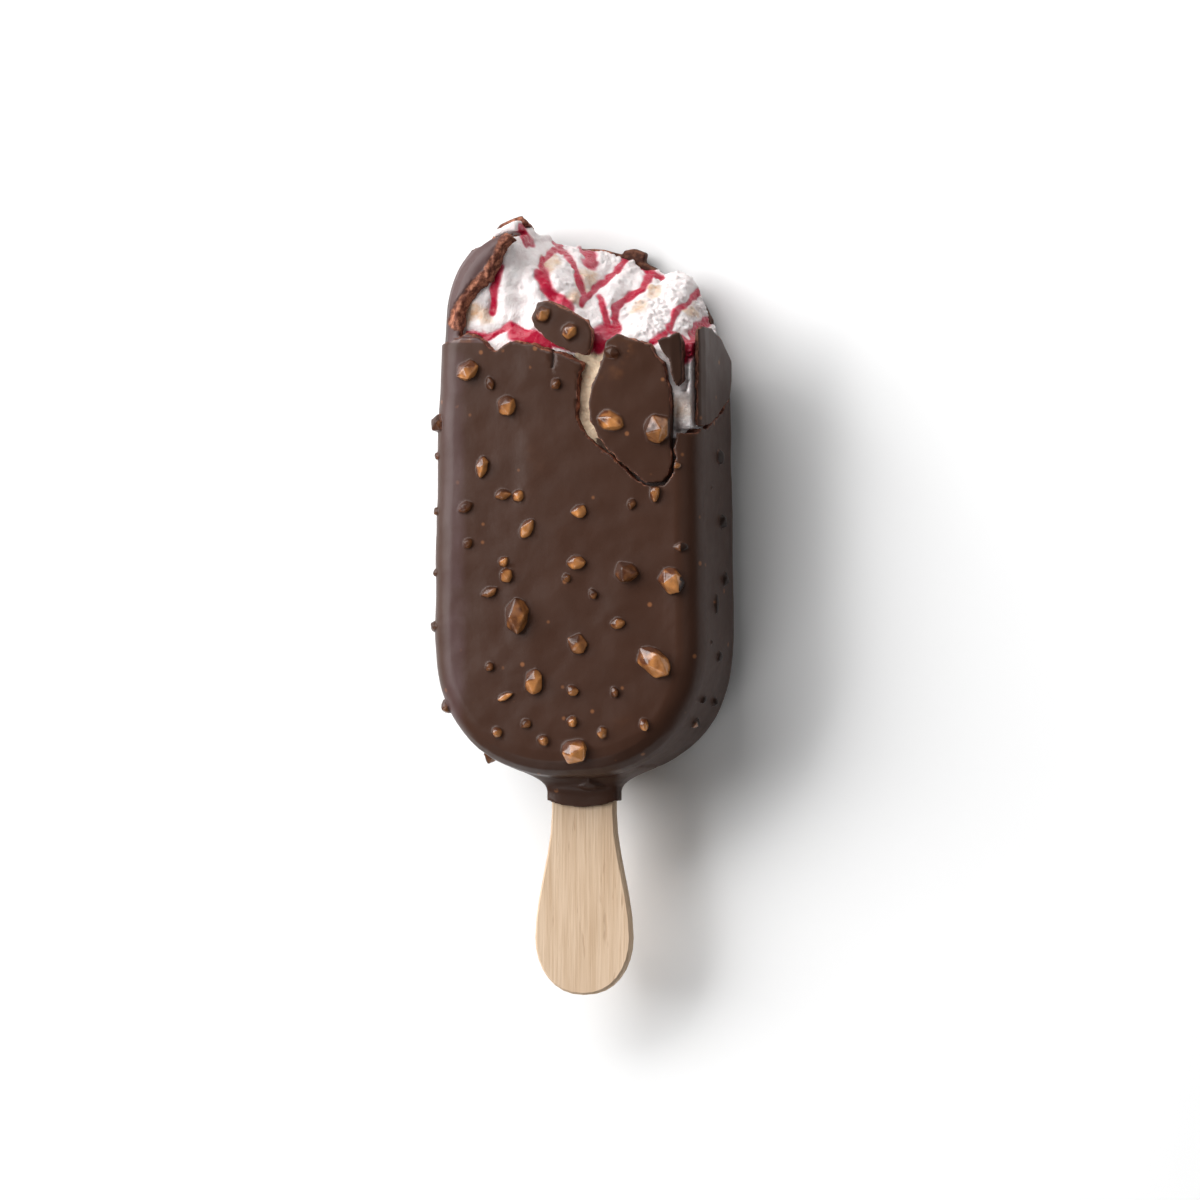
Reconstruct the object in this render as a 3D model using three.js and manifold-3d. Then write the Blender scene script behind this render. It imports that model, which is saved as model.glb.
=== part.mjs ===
// Bitten ice cream bar on a flat wooden stick, lying on its back.
// Millimetres, +Z up. +X is the bar's right seen from above, +Y runs from the stick
// to the bitten end, and the origin is on the table below the middle of the bar.
import * as THREE from "three";
import { mergeVertices } from "three/addons/utils/BufferGeometryUtils.js";
import Module from "manifold-3d";

// Whole bar before the bite
const BAR_HALF_WIDTH = 23.8;
const SIDE_TAPER = 0.0146; // half width lost per mm towards the bitten end
const STRAIGHT_HALF_LENGTH = 24;
// Half outline of an end beyond the straight part; a power of 2 would be elliptical
const STICK_END = { reach: 24.1, power: 2.3 };
const BITTEN_END = { reach: 24.6, power: 3 };
const CORNER_END = { reach: 24.1, power: 2.5 }; // the standing corner is rounder
const LEFT_LEAN = 0.5; // the left side comes in this far beside the bite
const BAR_HALF_THICKNESS = 12.2;
const FACE_CROWN = 0.5; // swell of the front and back
const EDGE_RADIUS = 4.5;
const COATING_THICKNESS = 1.9;
const FIT_GAP = 0.3; // between neighbouring pieces
const NUT_FOOT = 0.9; // nuts in the back hold the bar this far off the table
const MID_HEIGHT = BAR_HALF_THICKNESS + NUT_FOOT;

// Stick
const STICK_THICKNESS = 2;
const STICK_BEVEL = 0.35;
const NECK_HALF_WIDTH = 5.6;
const PADDLE_HALF_WIDTH = 8.6;
const STICK_END_Y = -85.1;
const PADDLE_Y = -75.4; // where the paddle is widest
const NECK_Y = -54;
const STICK_TOP_Y = 8;

// Collar of coating round the stick
const COLLAR_TOP_Y = -45.6;
const COLLAR_END_Y = -52;
const COLLAR_SAG = 1.2; // extra length in the middle
const COLLAR_WALL = 0.5;
const COLLAR_ROUNDNESS = 0.35; // 1 would be elliptical, 0 square
const COLLAR_FLARE = 8.4; // how fast it widens towards the bar

// Bite
const CREAM_FACE = BAR_HALF_THICKNESS - COATING_THICKNESS - FIT_GAP;
const BITE_COLUMNS = 40;
const BITE_ROWS = 26;
const BITE_TOP_Y = 58;
const BITE_START_Y = 22;
const BITE_SINK = 0.9; // the soft cream lies this far below the coating round it
const FLUTE_DEPTH = 0.5;
const SCOOP_DEPTH = 1.1;
const CRUMB_DEPTH = 0.45;
const CUT_DEPTH = 8.6; // height above mid-thickness where front cuts end
const CUT_TOP = 16; // above every nut
const BREAK_SLOPE = 0.5; // how far a broken edge leans, in mm
const RIM_SLOPE = 2.3; // the same for the rim of the standing corner
const CORNER_INSET = 0.55; // the standing corner has sunk inwards this far
const CORNER_FOOT = 1; // height above mid-thickness where it ends
const PEAK_FOOT = -0.2; // the back stands taller below this height
const WEDGE_INSET = 1.05; // cream left in front of the peak lies this far inside the skin
const WEDGE_TOP = 3.6; // height above mid-thickness where that cream ends
const PEAK_LEAN = 0.325; // the peak's edge moves left this far per mm towards the back
const LEAN_START_X = -6; // right of this edges don't lean
const LEAN_BLEND = 3; // they lean fully this far left of it
const FLAKE_INNER_X = 22.2; // inner face of the loose side piece

const CHOCOLATE = 0x4a3028;
const CREAM = 0xf0e8e2;
const WOOD = 0xdec09b;

const wasm = await Module();
wasm.setup();

function smooth(t) {
  const held = THREE.MathUtils.clamp(t, 0, 1);
  return held * held * (3 - 2 * held);
}

function seededRandom(seed) {
  let state = seed;
  return () => {
    state = (state * 1664525 + 1013904223) % 4294967296;
    return state / 4294967296;
  };
}

function lerp(from, to, t) {
  return from + (to - from) * t;
}

// Height at x of the broken line through [x, height] pairs
function alongLine(pairs, x) {
  if (x <= pairs[0][0]) return pairs[0][1];
  for (let i = 1; i < pairs.length; i++) {
    const [x0, v0] = pairs[i - 1];
    const [x1, v1] = pairs[i];
    if (x <= x1) return lerp(v0, v1, (x - x0) / (x1 - x0));
  }
  return pairs[pairs.length - 1][1];
}

function latticeValue(i, j, seed) {
  const wave = Math.sin(i * 127.1 + j * 311.7 + seed * 74.7) * 43758.5453;
  return 2 * (wave - Math.floor(wave)) - 1;
}

// Smooth noise between -1 and 1
function valueNoise(x, y, seed) {
  const i = Math.floor(x);
  const j = Math.floor(y);
  const s = (x - i) ** 2 * (3 - 2 * (x - i));
  const t = (y - j) ** 2 * (3 - 2 * (y - j));
  const low = lerp(latticeValue(i, j, seed), latticeValue(i + 1, j, seed), s);
  const high = lerp(latticeValue(i, j + 1, seed), latticeValue(i + 1, j + 1, seed), s);
  return lerp(low, high, t);
}

function bareCopy(geometry) {
  const bare = geometry.clone();
  bare.deleteAttribute("normal");
  bare.deleteAttribute("uv");
  return bare;
}

function toSolid(geometry) {
  const merged = mergeVertices(bareCopy(geometry), 1e-4);
  return new wasm.Manifold(
    new wasm.Mesh({
      numProp: 3,
      vertProperties: new Float32Array(merged.attributes.position.array),
      triVerts: new Uint32Array(merged.index.array),
    }),
  );
}

function toGeometry(solid) {
  const mesh = solid.getMesh();
  const positions = new Float32Array(mesh.numVert * 3);
  for (let i = 0; i < mesh.numVert; i++) {
    const start = i * mesh.numProp;
    positions.set(mesh.vertProperties.subarray(start, start + 3), i * 3);
  }
  return new THREE.BufferGeometry()
    .setAttribute("position", new THREE.BufferAttribute(positions, 3))
    .setIndex(new THREE.BufferAttribute(mesh.triVerts, 1));
}

// Solid from rings of the same number of points, closed by a point at each end
function ringSolid(rings, firstTip, lastTip) {
  const count = rings[0].length;
  const points = [firstTip, ...rings.flat(), lastTip];
  const triangles = [];
  const at = (ring, k) => 1 + ring * count + (k % count);
  for (let k = 0; k < count; k++) {
    triangles.push([0, at(0, k + 1), at(0, k)]);
    for (let ring = 0; ring + 1 < rings.length; ring++) {
      triangles.push([at(ring, k), at(ring, k + 1), at(ring + 1, k + 1)]);
      triangles.push([at(ring, k), at(ring + 1, k + 1), at(ring + 1, k)]);
    }
    triangles.push([points.length - 1, at(rings.length - 1, k), at(rings.length - 1, k + 1)]);
  }
  const geometry = new THREE.BufferGeometry().setFromPoints(points);
  geometry.setIndex(triangles.flat());
  return toSolid(geometry);
}

function halfWidthAt(y) {
  return BAR_HALF_WIDTH - SIDE_TAPER * y;
}

// How far the left side comes in at y
function leanAt(y) {
  return LEFT_LEAN * smooth((y - 8) / 16) * (1 - 0.5 * smooth((y - 28) / 10));
}

// Outline of the bar seen from the front, anticlockwise
function barOutline(endSteps, sideSteps, bittenEnd) {
  const points = [];
  const add = (x, y) => {
    const left = THREE.MathUtils.clamp(-x / BAR_HALF_WIDTH, 0, 1);
    points.push(new THREE.Vector2(x + left * leanAt(y), y));
  };
  for (const end of [1, -1]) {
    const { reach, power } = end > 0 ? bittenEnd : STICK_END;
    const half = halfWidthAt(end * STRAIGHT_HALF_LENGTH);
    for (let k = 0; k < endSteps; k++) {
      const angle = (k / endSteps) * Math.PI;
      const across = Math.sign(Math.cos(angle)) * Math.abs(Math.cos(angle)) ** (2 / power);
      const along = Math.sin(angle) ** (2 / power);
      add(end * half * across, end * (STRAIGHT_HALF_LENGTH + reach * along));
    }
    for (let k = 0; k < sideSteps; k++) {
      const y = end * lerp(STRAIGHT_HALF_LENGTH, -STRAIGHT_HALF_LENGTH, k / sideSteps);
      add(-end * halfWidthAt(y), y);
    }
  }
  return points;
}

// Whole bar's form moved inwards by the inset
function barBody(inset, endSteps, sideSteps, bittenEnd = BITTEN_END) {
  const outline = barOutline(endSteps, sideSteps, bittenEnd);
  const normals = outline.map((_, k) => {
    const before = outline[(k + outline.length - 1) % outline.length];
    const after = outline[(k + 1) % outline.length];
    const along = after.clone().sub(before).normalize();
    return new THREE.Vector2(along.y, -along.x);
  });
  const radius = EDGE_RADIUS - 0.6 * inset;
  const edgeHeight = BAR_HALF_THICKNESS - inset - FACE_CROWN;
  const ring = (depth, scale, z) =>
    outline.map((p, k) => {
      const moved = p.clone().addScaledVector(normals[k], -inset - depth);
      return new THREE.Vector3(moved.x * scale, moved.y * scale, MID_HEIGHT + z);
    });
  const upper = [];
  for (const turn of [0, 22.5, 45, 67.5, 90]) {
    const angle = (turn * Math.PI) / 180;
    const depth = radius * (1 - Math.cos(angle));
    upper.push([depth, 1, edgeHeight - radius + radius * Math.sin(angle)]);
  }
  for (const scale of [0.75, 0.4]) {
    upper.push([radius, scale, edgeHeight + FACE_CROWN * (1 - scale ** 2)]);
  }
  const lower = [...upper].reverse().map(([depth, scale, z]) => [depth, scale, -z]);
  const rings = [...lower, ...upper].map(([depth, scale, z]) => ring(depth, scale, z));
  const top = edgeHeight + FACE_CROWN;
  return ringSolid(
    rings,
    new THREE.Vector3(0, 0, MID_HEIGHT - top),
    new THREE.Vector3(0, 0, MID_HEIGHT + top),
  );
}

// Straight wall round [x, y] points between two heights above mid-thickness
function prism(points, low, high) {
  const shape = new THREE.Shape(points.map(([x, y]) => new THREE.Vector2(x, y)));
  const geometry = new THREE.ExtrudeGeometry(shape, { depth: high - low, bevelEnabled: false });
  geometry.translate(0, 0, MID_HEIGHT + low);
  return toSolid(geometry);
}

// Block whose outline changes from one list of [x, y] points to another of the same length
function slantedPrism(lowPoints, highPoints, low, high) {
  const count = lowPoints.length;
  const flat = (points) => points.map(([x, y]) => new THREE.Vector2(x, y));
  const lowCap = THREE.ShapeUtils.triangulateShape(flat(lowPoints), []);
  const highCap = THREE.ShapeUtils.triangulateShape(flat(highPoints), []);
  const anticlockwise = THREE.ShapeUtils.area(flat(lowPoints)) > 0;
  const triangles = [];
  const add = (a, b, c) => triangles.push(anticlockwise ? [a, b, c] : [a, c, b]);
  const faceUp = (points, cap) => THREE.ShapeUtils.area(flat(cap.map((k) => points[k]))) > 0;
  for (const cap of lowCap) {
    const [a, b, c] = cap;
    triangles.push(faceUp(lowPoints, cap) ? [a, c, b] : [a, b, c]);
  }
  for (const cap of highCap) {
    const [a, b, c] = cap.map((k) => k + count);
    triangles.push(faceUp(highPoints, cap) ? [a, b, c] : [a, c, b]);
  }
  for (let k = 0; k < count; k++) {
    const next = (k + 1) % count;
    add(k, next, count + next);
    add(k, count + next, count + k);
  }
  const place = (z) => ([x, y]) => new THREE.Vector3(x, y, MID_HEIGHT + z);
  const points = [...lowPoints.map(place(low)), ...highPoints.map(place(high))];
  const geometry = new THREE.BufferGeometry().setFromPoints(points);
  geometry.setIndex(triangles.flat());
  return toSolid(geometry);
}

// Wall round [y, height above mid-thickness] points between two values of x
function sidePrism(points, left, right) {
  const shape = new THREE.Shape(points.map(([y, z]) => new THREE.Vector2(y, z)));
  const geometry = new THREE.ExtrudeGeometry(shape, { depth: right - left, bevelEnabled: false });
  geometry.applyMatrix4(
    new THREE.Matrix4().set(0, 0, 1, left, 1, 0, 0, 0, 0, 1, 0, MID_HEIGHT, 0, 0, 0, 1),
  );
  return toSolid(geometry);
}

// Finer line with small seeded steps aside, as brittle coating breaks
function ragged(points, step, amount, seed) {
  const random = seededRandom(seed);
  const result = [];
  for (let i = 0; i + 1 < points.length; i++) {
    const [x0, y0] = points[i];
    const [x1, y1] = points[i + 1];
    const length = Math.hypot(x1 - x0, y1 - y0);
    const count = Math.max(1, Math.round(length / step));
    result.push([x0, y0]);
    for (let k = 1; k < count; k++) {
      const aside = amount * (2 * random() - 1);
      const t = k / count;
      const x = lerp(x0, x1, t) - ((y1 - y0) / length) * aside;
      result.push([x, lerp(y0, y1, t) + ((x1 - x0) / length) * aside]);
    }
  }
  result.push(points[points.length - 1]);
  return result;
}

// Closed outline moved inwards by a small distance
function shrunk(points, distance) {
  return points.map(([x, y], i) => {
    const [bx, by] = points[(i + points.length - 1) % points.length];
    const [ax, ay] = points[(i + 1) % points.length];
    const before = new THREE.Vector2(x - bx, y - by).normalize();
    const after = new THREE.Vector2(ax - x, ay - y).normalize();
    const inward = new THREE.Vector2(-before.y - after.y, before.x + after.x).normalize();
    const area = THREE.ShapeUtils.area(points.map(([px, py]) => new THREE.Vector2(px, py)));
    const side = area > 0 ? distance : -distance;
    return [x + inward.x * side, y + inward.y * side];
  });
}

// Block whose left part leans to the left towards the back
function leaningPrism(points, high) {
  const lean = PEAK_LEAN * (CUT_TOP + high);
  const low = points.map(([x, y]) => [x - lean * smooth((LEAN_START_X - x) / LEAN_BLEND), y]);
  return slantedPrism(low, points, -CUT_TOP, high);
}

// Where the coating of the front is broken away, from the left edge to the crack
const FRONT_BREAK = [
  [-26, 25.6], [-19.1, 26.1], [-17.5, 27.2], [-14, 25.7], [-12.1, 24.1], [-9, 26],
  [-5.4, 25.5], [-1.9, 24.2], [1, 23.3], [3.6, 22.1],
];
// Crack below the loose flap, on the side of the main coating
const FLAP_CRACK = [
  [3.1, 20.7], [2.7, 17.4], [2.5, 12.9], [3.3, 11.1], [4.7, 9.5], [6.6, 7.8], [8.3, 6.7],
  [12, 3.2], [14.2, 1.5], [16, 1.2], [18, 1.4], [19.3, 3], [20, 5.4], [19.7, 8], [20.2, 10.2],
];
const FLAP_OUTLINE = [
  [7.9, 26.1], [7.6, 25.7], [7, 22.7], [5.9, 20], [5, 17.8], [4.6, 15.4], [5, 12.5],
  [6.1, 9.9], [7.6, 7.9], [10, 5.6], [12.4, 3.5], [14.4, 1.9], [16, 1.7], [17.7, 1.9],
  [18.8, 3.3], [19.4, 5.4], [19.1, 7.4], [19.2, 12], [19.2, 17.5], [18.4, 19.6],
  [17.9, 22.2], [16.7, 23.2], [15.6, 25.4], [9.7, 27.1],
];
const CHIP_OUTLINE = [
  [-4.4, 32.4], [-5.5, 30], [-5.2, 28.2], [-3.4, 26.5], [-1.5, 25.1], [0.6, 24.3], [2.5, 23.6],
  [4.2, 23.1], [5.2, 24.5], [5.5, 26.2], [5.35, 27.8], [4.5, 29.4], [2.6, 30.5], [0.8, 31.3],
  [-1, 32.2], [-2.7, 32.8],
];
const SHARD_OUTLINE = [
  [16.2, 25.9], [17.2, 23.7], [18.4, 22.6], [18.9, 19.9], [19.7, 17.7], [20.9, 19.1],
  [20.9, 21.7], [20.7, 25.8], [19.8, 27.2], [18.6, 26.6],
];
// Right side piece as [y, height above mid-thickness]
const FLAKE_OUTLINE = [
  [28, 9.4], [28.5, 7.2], [28.3, 3.3], [26.4, -2.1], [22.4, -8.2], [19.9, -8.1], [16.4, -6.4],
  [13.1, 0.2], [11.7, 5], [11.3, 9], [11.5, 12.6], [16.9, 13], [19.5, 12.4], [24.2, 11],
];
const SIDE_BREAK = [
  [21.6, -13], [19.4, -8.5], [15.9, -6.8], [12.6, -0.2], [11.2, 4.8], [10.6, 9], [10.4, 13],
];
// Edge of the coating at the back, down to the right side
const BACK_BREAK = [
  [-4.7, 42.2], [-0.1, 41.9], [3.5, 41], [3.9, 41.7], [5.6, 42], [7.7, 41.2], [7.4, 39.6],
  [9.4, 38.6], [11.4, 37.3], [14, 35.9], [16.5, 34.4], [18.1, 32.2], [19.6, 29.3], [21, 26.4],
  [23.4, 22.6], [27, 22],
];
// The peak left beside the bite: its low edge behind the corner, and the back itself
const PEAK_EDGE = [
  [-24, 41], [-20.6, 41.3], [-18.7, 42], [-17.3, 42.4], [-15, 43.1], [-12, 44.2],
  [-10.5, 44.2], [-9.9, 43.8], [-8, 42.6],
];
const BACK_PEAK_EDGE = [
  [-24, 41], [-20, 41.8], [-17.5, 42.6], [-16.5, 43.8], [-15.7, 45.2], [-13.7, 47.6],
  [-11.9, 49], [-11, 47.1], [-9.2, 45.6], [-9, 45.1], [-9.4, 44.2], [-7, 42.7],
];
// Cream left standing on the low edge, in front of the back
const WEDGE_OUTLINE = [
  [-15.2, 43.6], [-12.2, 44.9], [-9.9, 44.9], [-9.8, 46], [-11.2, 48], [-14.8, 48],
];
// Upper edge of the standing corner's front plate
const PLATE_EDGE = [
  [-24, 40], [-20.4, 39.2], [-19.1, 39.7], [-18.2, 40.8], [-16.4, 41.5], [-13.7, 43.1],
  [-11.6, 43.9], [-10.3, 44.4], [-9.6, 44.2],
];
// Front rim of the standing corner along its outer skin
const CORNER_RIM_OUTER = [
  [-19.8, 30.3], [-18.5, 33.3], [-17.1, 34.9], [-15.4, 36.4], [-14.1, 37], [-13.6, 38.4],
  [-12.7, 39.9], [-12.5, 41.2], [-11.3, 43.2], [-10, 44.4],
];

function breakCutters() {
  const left = ragged(FRONT_BREAK, 1.5, 0.35, 11);
  const crack = ragged(FLAP_CRACK, 1.5, 0.15, 12);
  const rim = ragged([...CORNER_RIM_OUTER].reverse(), 1.4, 0.2, 13);
  const start = left.findIndex(([x]) => x > -19.3);
  const outside = [[30, 10.2], [30, BITE_TOP_Y], [-10, BITE_TOP_Y]];
  const edges = [[left.slice(start), BREAK_SLOPE], [crack, 0], [outside, 0], [rim, RIM_SLOPE]];
  const atSkin = edges.flatMap(([points]) => points);
  const slopes = edges.flatMap(([points, slope]) => points.map(() => slope));
  const inwards = shrunk(atSkin, 1);
  const atCream = atSkin.map(([x, y], i) => {
    const [inX, inY] = inwards[i];
    return [lerp(x, inX, slopes[i]), lerp(y, inY, slopes[i])];
  });
  const skinTop = BAR_HALF_THICKNESS - 0.4;
  const front = slantedPrism(atCream, atSkin, CUT_DEPTH, skinTop)
    .add(prism(atSkin, skinTop - 0.01, CUT_TOP));
  const right = [...ragged(BACK_BREAK, 1.5, 0.25, 14), [30, 22], [30, BITE_TOP_Y]];
  const beyond = (edge, seed) => [...ragged(edge, 1.5, 0.2, seed), ...right, [-24, BITE_TOP_Y]];
  const low = prism(beyond(PEAK_EDGE, 18), PEAK_FOOT - 0.01, CUT_TOP);
  const back = leaningPrism(beyond(BACK_PEAK_EDGE, 17), PEAK_FOOT).add(low);
  const plate = prism(
    [...ragged(PLATE_EDGE, 1.5, 0.15, 19), [-9.6, BITE_TOP_Y], [-24, BITE_TOP_Y]],
    CORNER_FOOT + 0.5,
    CUT_TOP,
  );
  const side = sidePrism(
    [...ragged(SIDE_BREAK, 1.5, 0.25, 15), [BITE_TOP_Y, 13], [BITE_TOP_Y, -13]],
    19.4,
    30,
  );
  return front.add(back).add(plate).add(side);
}

// Where the bite starts at the front of the cream and ends at its back, as y over x
const BITE_FRONT_LINE = [
  [-24, 25.5], [-19, 26], [-12, 24.4], [-6.5, 26.5], [-4.5, 30], [0, 29.6], [4, 27], [7, 26],
  [12, 26.4], [16, 25.4], [19.5, 24.6], [22, 25.6], [24, 25.6],
];
const BITE_BACK_LINE = [
  [-24, 44], [-20, 47], [-17, 51], [-11.8, 51], [-10.6, 49.5], [-9.8, 45.8], [-9.4, 44],
  [-6.8, 43.2], [-4.9, 42.6], [-1, 42.2], [3.1, 41.5], [5, 41], [7, 39.9], [11, 38.2], [13.4, 38.6],
  [15.6, 38], [16.6, 38.2], [17.5, 36.4], [18, 34.4], [19.2, 30.9], [21, 27.6], [24, 26.6],
];

// Beyond this the cream is gone beside the peak
const CREAM_PEAK_EDGE = [
  [-9.3, 50], [-9.3, 45.3], [-8.9, 44.7], [-7.1, 43.9], [-5, 43.4], [-5, 50],
];

function biteSurface(x, y) {
  const front = alongLine(BITE_FRONT_LINE, x);
  const back = alongLine(BITE_BACK_LINE, x);
  const t = (y - front) / (back - front);
  if (t <= 0) return CUT_TOP;
  if (t >= 1) return -CUT_TOP;
  const steepness = lerp(8, 1.15, THREE.MathUtils.clamp((x + 10) / 12, 0, 1) ** 0.5);
  const flutes = FLUTE_DEPTH * Math.sin(1.15 * x + 0.25 * y + 0.9 * valueNoise(x / 5, y / 5, 3));
  const scoops = SCOOP_DEPTH * valueNoise(x / 4.5, y / 4.5, 4);
  const crumbs = CRUMB_DEPTH * valueNoise(x / 1.4, y / 1.4, 5);
  const sunken = BITE_SINK * Math.min(1, 6 * t);
  const relief = (flutes + scoops + crumbs) * Math.min(1, 4 * t);
  return CREAM_FACE * (1 - 2 * t ** steepness) - sunken + relief;
}

// Everything in front of the bitten surface
function biteCutter() {
  const points = [];
  const triangles = [];
  const left = -25;
  const right = 25;
  const end = 50;
  for (const level of [0, 1]) {
    for (let j = 0; j <= BITE_ROWS; j++) {
      for (let i = 0; i <= BITE_COLUMNS; i++) {
        const x = lerp(left, right, i / BITE_COLUMNS);
        const y = lerp(BITE_START_Y, end, j / BITE_ROWS);
        const z = level ? CUT_TOP + 1 : biteSurface(x, y);
        points.push(new THREE.Vector3(x, y, MID_HEIGHT + z));
      }
    }
  }
  const at = (level, i, j) => (level * (BITE_ROWS + 1) + j) * (BITE_COLUMNS + 1) + i;
  const quad = (a, b, c, d) => triangles.push([a, b, c], [a, c, d]);
  for (let j = 0; j < BITE_ROWS; j++) {
    for (let i = 0; i < BITE_COLUMNS; i++) {
      quad(at(0, i, j), at(0, i, j + 1), at(0, i + 1, j + 1), at(0, i + 1, j));
      quad(at(1, i, j), at(1, i + 1, j), at(1, i + 1, j + 1), at(1, i, j + 1));
    }
    const last = BITE_COLUMNS;
    quad(at(0, 0, j), at(1, 0, j), at(1, 0, j + 1), at(0, 0, j + 1));
    quad(at(0, last, j), at(0, last, j + 1), at(1, last, j + 1), at(1, last, j));
  }
  for (let i = 0; i < BITE_COLUMNS; i++) {
    const last = BITE_ROWS;
    quad(at(0, i, 0), at(0, i + 1, 0), at(1, i + 1, 0), at(1, i, 0));
    quad(at(0, i, last), at(1, i, last), at(1, i + 1, last), at(0, i + 1, last));
  }
  const geometry = new THREE.BufferGeometry().setFromPoints(points);
  geometry.setIndex(triangles.flat());
  return toSolid(geometry);
}

function stickHalfWidth(y) {
  return lerp(NECK_HALF_WIDTH, PADDLE_HALF_WIDTH, smooth((NECK_Y - y) / (NECK_Y - PADDLE_Y)));
}

// Right edge of the stick from the round end to the hidden top, [x, y] points
function stickEdge() {
  const edge = [];
  const endSteps = 8;
  const sideSteps = 6;
  const reach = PADDLE_Y - STICK_END_Y;
  for (let k = 0; k <= endSteps; k++) {
    const angle = ((k / endSteps) * Math.PI) / 2;
    edge.push([PADDLE_HALF_WIDTH * Math.sin(angle) ** 0.9, PADDLE_Y - reach * Math.cos(angle)]);
  }
  for (let k = 1; k <= sideSteps; k++) {
    const y = lerp(PADDLE_Y, NECK_Y, k / sideSteps);
    edge.push([stickHalfWidth(y), y]);
  }
  edge.push([NECK_HALF_WIDTH, STICK_TOP_Y - 4], [NECK_HALF_WIDTH - 1.5, STICK_TOP_Y]);
  return edge;
}

function stickBlank(grow, bevel) {
  const right = stickEdge().slice(1);
  const left = right.map(([x, y]) => [-x, y]).reverse();
  const outline = shrunk([[0, STICK_END_Y], ...right, ...left], bevel - grow);
  const shape = new THREE.Shape(outline.map(([x, y]) => new THREE.Vector2(x, y)));
  const depth = STICK_THICKNESS + 2 * grow - 2 * bevel;
  const geometry = new THREE.ExtrudeGeometry(shape, {
    depth,
    bevelEnabled: bevel > 0,
    bevelSize: bevel,
    bevelThickness: bevel,
    bevelSegments: 1,
  });
  geometry.translate(0, 0, MID_HEIGHT - depth / 2);
  return toSolid(geometry);
}

// Funnel of coating that runs a little way down the stick
function collar() {
  const count = 28;
  const endWidth = NECK_HALF_WIDTH + FIT_GAP + COLLAR_WALL;
  const endDepth = STICK_THICKNESS / 2 + FIT_GAP + COLLAR_WALL;
  const levels = [0, 0.12, 0.24, 0.36, 0.48, 0.6, 0.74, 1].map((t) => {
    const flare = Math.min(0.66, Math.max(0, 1 - t / 0.74) ** 2);
    return [t, endWidth + COLLAR_FLARE * flare, endDepth + 0.8 * COLLAR_FLARE * flare];
  });
  const rings = levels.map(([t, halfWidth, halfDepth]) => {
    const ring = [];
    for (let k = 0; k < count; k++) {
      const angle = (k / count) * 2 * Math.PI;
      const across = Math.sign(Math.cos(angle)) * Math.abs(Math.cos(angle)) ** COLLAR_ROUNDNESS;
      const through = Math.sign(Math.sin(angle)) * Math.abs(Math.sin(angle)) ** COLLAR_ROUNDNESS;
      const sag = COLLAR_SAG * t * (1 - across ** 2);
      ring.push(
        new THREE.Vector3(
          halfWidth * across,
          lerp(COLLAR_TOP_Y, COLLAR_END_Y, t) - sag,
          MID_HEIGHT + halfDepth * through,
        ),
      );
    }
    return ring;
  });
  const top = new THREE.Vector3(0, COLLAR_TOP_Y, MID_HEIGHT);
  const end = new THREE.Vector3(0, COLLAR_END_Y - COLLAR_SAG, MID_HEIGHT);
  return ringSolid(rings, top, end);
}

// Angular piece of roasted nut with its long side turned in the surface
function nut(center, normal, length, width, height, random) {
  const chunk = mergeVertices(bareCopy(new THREE.IcosahedronGeometry(0.5, 0)), 1e-3);
  const position = chunk.attributes.position;
  for (let i = 0; i < position.count; i++) {
    const stretch = 0.82 + 0.38 * random();
    position.setXYZ(
      i,
      position.getX(i) * length * stretch,
      position.getY(i) * width * stretch,
      position.getZ(i) * height * stretch,
    );
  }
  const upright = new THREE.Quaternion().setFromUnitVectors(new THREE.Vector3(0, 0, 1), normal);
  const spin = new THREE.Quaternion().setFromAxisAngle(
    new THREE.Vector3(0, 0, 1),
    random() * Math.PI,
  );
  const tip = new THREE.Quaternion().setFromAxisAngle(
    new THREE.Vector3(1, 0, 0),
    0.5 * (random() - 0.5),
  );
  chunk.applyQuaternion(upright.multiply(spin).multiply(tip));
  chunk.translate(center.x, center.y, center.z);
  return toSolid(chunk);
}

// The larger nuts that show on the front, as [x, y, length, width]
const FRONT_NUTS = [
  [-17, 21, 4.6, 3.4], [-9.8, 15.2, 3.6, 3.4], [-12.9, 18.8, 2.4, 2], [-1, 18.6, 2, 2],
  [-14.3, 4.8, 4, 2.4], [-10.5, -0.1, 2.6, 2.2], [-7.9, -0.2, 2.4, 2.2], [-6.3, -6, 3.6, 2.4],
  [-17.3, -2.1, 3, 2.2], [-16.9, -8.4, 2, 1.8], [-10.6, -11.5, 2, 1.8], [-9.9, -13.7, 3, 2.6],
  [-13, -16.6, 3, 1.9], [-8.1, -20.8, 5.8, 4.6], [2.6, -11.5, 3.6, 2.9], [3.2, -3.1, 3, 2.6],
  [0.9, -14.2, 2, 1.8], [5.5, -17, 2, 1.8], [12.3, -1.6, 2, 1.8], [16.4, 0.4, 3.4, 1.9],
  [20, 4.8, 2, 1.6], [20.9, -9, 2.6, 2], [11.3, -13.3, 4.4, 3.6], [19.3, -14.7, 5, 3.6],
  [10, -22, 2.6, 2.2], [2.9, -25.6, 3.6, 3.2], [16.3, -28.4, 6.4, 4.2], [-4.9, -31.6, 4.8, 3.4],
  [-12.9, -29.2, 2, 1.8], [-10.2, -34.3, 2.8, 1.6], [2, -33.3, 2.4, 2], [9.3, -33.5, 2, 1.8],
  [-6.5, -38.9, 2, 1.8], [1.7, -38.5, 2, 1.8], [7.1, -40.4, 2, 1.8], [14.5, -39, 2.2, 1.8],
  [2.1, -43.6, 4.4, 3.6], [-11.7, -40.4, 2, 1.8], [-3.4, -41.6, 1.8, 1.6], [9.6, -45.2, 3, 1.5],
];
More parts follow.
